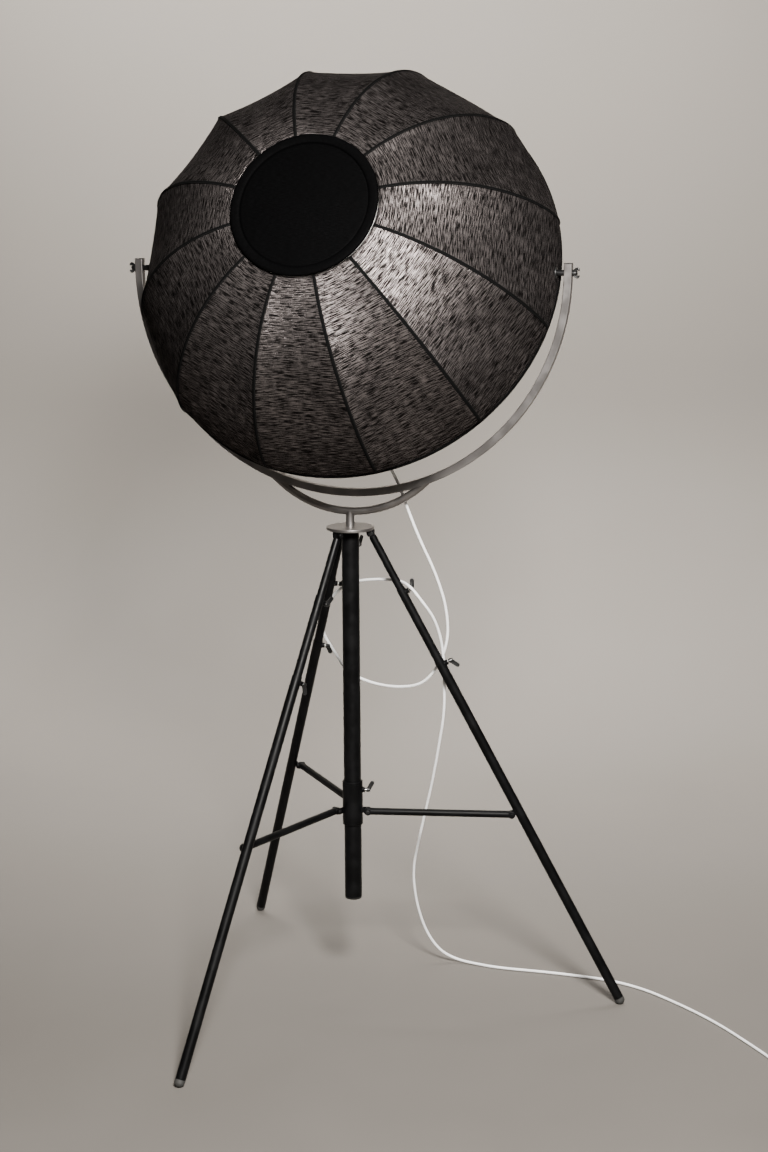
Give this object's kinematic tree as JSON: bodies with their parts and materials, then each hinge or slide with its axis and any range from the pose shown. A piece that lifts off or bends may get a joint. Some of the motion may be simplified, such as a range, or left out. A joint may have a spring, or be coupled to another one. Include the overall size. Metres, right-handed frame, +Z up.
{
  "type": "tripod floor lamp",
  "caption": "Studio-style floor lamp: braced telescopic tripod, sliding mast, half-ring yoke and tilting ribbed fabric bowl shade.",
  "frame": {"origin": "on the floor, under the middle of the lamp's bounding box, cord left out", "axes": "+Z up, X along the shade's pivots, the shade's closed hub end towards -Y"},
  "size_m": [1.5095, 0.9994, 1.9646],
  "materials": {
    "black_paint": "matte black powder coat",
    "satin_grey": "dark satin grey",
    "black_plastic": "moulded, slightly worn",
    "plated_steel": "zinc plated",
    "black_fabric": "slubbed satin weave",
    "black_tape": "woven tape",
    "frame_paint": "white gloss paint",
    "holder_plastic": "moulded",
    "bulb_glass": "frosted",
    "bulb_metal": "rolled thread",
    "grey_flex": "smooth sheath",
    "plug_metal": "plated"
  },
  "bodies": {
    "stand": {"top_plate": "satin_grey", "leg_clevises": "black_paint", "leg_pins": "plated_steel", "column_tube": "black_paint", "column_cap": "black_plastic", "mast_bush": "black_plastic", "cord_tube": "grey_flex", "cord_coil": "grey_flex", "plug_body": "grey_flex", "plug_pins": "plug_metal"},
    "column_screw": {"column_thumb_screw": "black_plastic"},
    "collar": {"collar": "black_paint", "brace_pins": "plated_steel"},
    "collar_screw": {"collar_thumb_screw": "black_plastic"},
    "guide": {"mast_guide": "satin_grey"},
    "yoke": {"mast_tube": "satin_grey", "bow_tube": "satin_grey", "yoke_bar": "satin_grey", "yoke_plugs": "black_plastic"},
    "head": {"shade_cover": "black_fabric", "shade_ribs": "frame_paint", "seam_tapes": "black_tape", "rim_hoop": "frame_paint", "hub_plate": "frame_paint", "hub_ring": "black_fabric", "hub_cap": "black_fabric", "pivot_straps": "plated_steel", "pivot_spacers": "plated_steel", "pivot_bolts": "plated_steel", "lamp_stem": "frame_paint", "lampholder": "holder_plastic", "bulb_cap": "bulb_metal", "bulb_glass": "bulb_glass", "cord_grip": "holder_plastic"},
    "left_nut": {"left_wing_nut": "black_plastic"},
    "right_nut": {"right_wing_nut": "black_plastic"},
    "right_upper_leg": {"right_leg_upper_tube": "black_paint"},
    "right_middle_leg": {"right_leg_middle_tube": "black_paint"},
    "right_lower_leg": {"right_leg_lower_tube": "black_paint", "right_foot_tip": "black_plastic"},
    "right_upper_screw": {"right_leg_upper_thumb_screw": "black_plastic"},
    "right_lower_screw": {"right_leg_lower_thumb_screw": "black_plastic"},
    "right_brace": {"right_brace": "black_paint"},
    "front_upper_leg": {"front_leg_upper_tube": "black_paint"},
    "front_middle_leg": {"front_leg_middle_tube": "black_paint"},
    "front_lower_leg": {"front_leg_lower_tube": "black_paint", "front_foot_tip": "black_plastic"},
    "front_upper_screw": {"front_leg_upper_thumb_screw": "black_plastic"},
    "front_lower_screw": {"front_leg_lower_thumb_screw": "black_plastic"},
    "front_brace": {"front_brace": "black_paint"},
    "back_upper_leg": {"back_leg_upper_tube": "black_paint"},
    "back_middle_leg": {"back_leg_middle_tube": "black_paint"},
    "back_lower_leg": {"back_leg_lower_tube": "black_paint", "back_foot_tip": "black_plastic"},
    "back_upper_screw": {"back_leg_upper_thumb_screw": "black_plastic"},
    "back_lower_screw": {"back_leg_lower_thumb_screw": "black_plastic"},
    "back_brace": {"back_brace": "black_paint"}
  },
  "joints": [
    {"name": "right_leg_fold", "type": "hinge", "parent": "stand", "child": "right_upper_leg", "pos_m": [-0.00609, 0.06068, 1.02348], "axis": [-0.184, 0.9829, 0], "range_deg": [0, 23.7]},
    {"name": "right_middle_leg_slide", "type": "slide", "parent": "right_upper_leg", "child": "right_middle_leg", "axis": [0.4569, 0.0855, -0.8854], "range_m": [-0.1, 0.12]},
    {"name": "right_lower_leg_slide", "type": "slide", "parent": "right_middle_leg", "child": "right_lower_leg", "axis": [0.4569, 0.0855, -0.8854], "range_m": [-0.14, 0.12]},
    {"name": "right_leg_upper_screw_turn", "type": "hinge", "parent": "right_middle_leg", "child": "right_upper_screw", "pos_m": [0.05971, 0.07299, 0.89599], "axis": [0.8703, 0.1629, 0.4648], "continuous": true},
    {"name": "right_leg_lower_screw_turn", "type": "hinge", "parent": "right_lower_leg", "child": "right_lower_screw", "pos_m": [0.13875, 0.08779, 0.74281], "axis": [0.8703, 0.1629, 0.4648], "continuous": true},
    {"name": "right_brace_swing", "type": "hinge", "parent": "collar", "child": "right_brace", "pos_m": [-0.01009, 0.04131, 0.42338], "axis": [-0.184, 0.9829, 0], "range_deg": [0, 82.71]},
    {"name": "front_leg_fold", "type": "hinge", "parent": "stand", "child": "front_upper_leg", "pos_m": [-0.06198, 0.01278, 1.02348], "axis": [0.9432, -0.3322, 0], "range_deg": [0, 23.71]},
    {"name": "front_middle_leg_slide", "type": "slide", "parent": "front_upper_leg", "child": "front_middle_leg", "axis": [-0.1544, -0.4384, -0.8854], "range_m": [-0.1, 0.12]},
    {"name": "front_lower_leg_slide", "type": "slide", "parent": "front_middle_leg", "child": "front_lower_leg", "axis": [-0.1544, -0.4384, -0.8854], "range_m": [-0.14, 0.12]},
    {"name": "front_leg_upper_screw_turn", "type": "hinge", "parent": "front_middle_leg", "child": "front_upper_screw", "pos_m": [-0.08421, -0.05036, 0.89599], "axis": [0.5282, 0.7207, -0.449], "continuous": true},
    {"name": "front_leg_lower_screw_turn", "type": "hinge", "parent": "front_lower_leg", "child": "front_lower_screw", "pos_m": [-0.11093, -0.12621, 0.74281], "axis": [0.5282, 0.7207, -0.449], "continuous": true},
    {"name": "front_brace_swing", "type": "hinge", "parent": "collar", "child": "front_brace", "pos_m": [-0.07675, 0.02593, 0.42338], "axis": [0.9432, -0.3322, 0], "range_deg": [0, 82.71]},
    {"name": "back_leg_fold", "type": "hinge", "parent": "stand", "child": "back_upper_leg", "pos_m": [-0.07552, 0.08513, 1.02348], "axis": [-0.7593, -0.6508, 0], "range_deg": [0, 23.71]},
    {"name": "back_middle_leg_slide", "type": "slide", "parent": "back_upper_leg", "child": "back_middle_leg", "axis": [-0.3025, 0.3529, -0.8854], "range_m": [-0.1, 0.12]},
    {"name": "back_lower_leg_slide", "type": "slide", "parent": "back_middle_leg", "child": "back_lower_leg", "axis": [-0.3025, 0.3529, -0.8854], "range_m": [-0.14, 0.12]},
    {"name": "back_leg_upper_screw_turn", "type": "hinge", "parent": "back_middle_leg", "child": "back_upper_screw", "pos_m": [-0.11908, 0.13595, 0.89599], "axis": [0.9153, 0.3666, -0.1666], "continuous": true},
    {"name": "back_leg_lower_screw_turn", "type": "hinge", "parent": "back_lower_leg", "child": "back_lower_screw", "pos_m": [-0.17142, 0.19701, 0.74281], "axis": [0.9153, 0.3666, -0.1666], "continuous": true},
    {"name": "back_brace_swing", "type": "hinge", "parent": "collar", "child": "back_brace", "pos_m": [-0.05675, 0.09135, 0.42338], "axis": [-0.7593, -0.6508, 0], "range_deg": [0, 82.71]},
    {"name": "collar_slide", "type": "slide", "parent": "stand", "child": "collar", "axis": [0, 0, 1], "range_m": [0, 0.23529]},
    {"name": "collar_screw_turn", "type": "hinge", "parent": "collar", "child": "collar_screw", "pos_m": [-0.04786, 0.05286, 0.46538], "axis": [0.9829, 0.184, 0], "continuous": true},
    {"name": "column_screw_turn", "type": "hinge", "parent": "stand", "child": "column_screw", "pos_m": [-0.04786, 0.05286, 0.99248], "axis": [0.3322, 0.9432, 0], "continuous": true},
    {"name": "mast_lift", "type": "slide", "parent": "stand", "child": "guide", "axis": [0, 0, 1], "range_m": [-0.018, 0.48], "deforming": ["cord_tube"]},
    {"name": "yoke_swivel", "type": "hinge", "parent": "guide", "child": "yoke", "pos_m": [-0.04786, 0.05286, 1.03648], "axis": [0, 0, 1], "continuous": true, "deforming": ["cord_tube"]},
    {"name": "head_tilt", "type": "hinge", "parent": "yoke", "child": "head", "pos_m": [-0.04786, 0.05286, 1.56598], "axis": [1, 0, 0], "range_deg": [-60, 115], "deforming": ["cord_tube"]},
    {"name": "left_nut_turn", "type": "hinge", "parent": "head", "child": "left_nut", "pos_m": [-0.51286, 0.05286, 1.56598], "axis": [-1, 0, 0], "continuous": true},
    {"name": "right_nut_turn", "type": "hinge", "parent": "head", "child": "right_nut", "pos_m": [0.41714, 0.05286, 1.56598], "axis": [1, 0, 0], "continuous": true}
  ],
  "couplings": [
    {"joint": "right_brace_swing", "follows": "right_leg_fold", "ratio": 3.489},
    {"joint": "front_leg_fold", "follows": "right_leg_fold", "ratio": 1},
    {"joint": "front_brace_swing", "follows": "right_leg_fold", "ratio": 3.489},
    {"joint": "back_leg_fold", "follows": "right_leg_fold", "ratio": 1},
    {"joint": "back_brace_swing", "follows": "right_leg_fold", "ratio": 3.489},
    {"joint": "collar_slide", "follows": "right_leg_fold", "m_per_rad": 0.56858}
  ]
}
